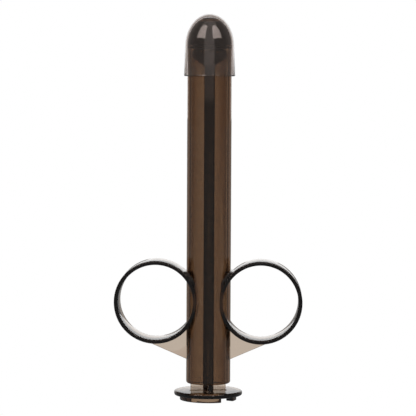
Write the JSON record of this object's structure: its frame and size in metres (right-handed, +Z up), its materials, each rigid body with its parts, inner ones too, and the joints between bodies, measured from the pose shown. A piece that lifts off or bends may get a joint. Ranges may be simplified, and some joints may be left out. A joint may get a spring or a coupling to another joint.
{
  "type": "finger-ring plunger applicator",
  "caption": "Upright smoke-tinted plunger applicator: domed nose under a push-on cap, side finger rings on webs, cross rod with rubber piston and thumb disc.",
  "frame": {"origin": "centre of the foot ring's underside, at the bottom of the part", "axes": "+Z up along the plunger towards the cap, finger rings at -X and +X with their holes along Y"},
  "size_m": [0.0806, 0.0292, 0.1656],
  "materials": {
    "smoke_brown": "clear glossy smoke-brown moulding",
    "smoke_grey": "clear glossy smoke-grey moulding",
    "black_rubber": "satin moulded rubber"
  },
  "bodies": {
    "barrel": {"barrel_tube": "smoke_brown", "barrel_nose": "smoke_brown", "finger_ring_left": "smoke_brown", "ring_web_left": "smoke_brown", "ring_bridge_left": "smoke_brown", "finger_ring_right": "smoke_brown", "ring_web_right": "smoke_brown", "ring_bridge_right": "smoke_brown"},
    "seal": {"piston_seal": "black_rubber"},
    "plunger": {"plunger_rod": "smoke_brown", "piston_flange": "smoke_brown", "thumb_disc": "smoke_brown", "foot_arc_back": "smoke_brown", "foot_arc_front": "smoke_brown"},
    "cap": {"cap_shell": "smoke_grey"}
  },
  "joints": [
    {"name": "plunger_draw", "type": "slide", "parent": "barrel", "child": "seal", "axis": [0, 0, -1], "range_m": [0, 0.125]},
    {"name": "plunger_spin", "type": "hinge", "parent": "seal", "child": "plunger", "pos_m": [0, 0, 0], "axis": [0, 0, 1], "continuous": true},
    {"name": "cap_lift", "type": "slide", "parent": "barrel", "child": "cap", "axis": [0, 0, 1], "range_m": [0, 0.035]}
  ]
}
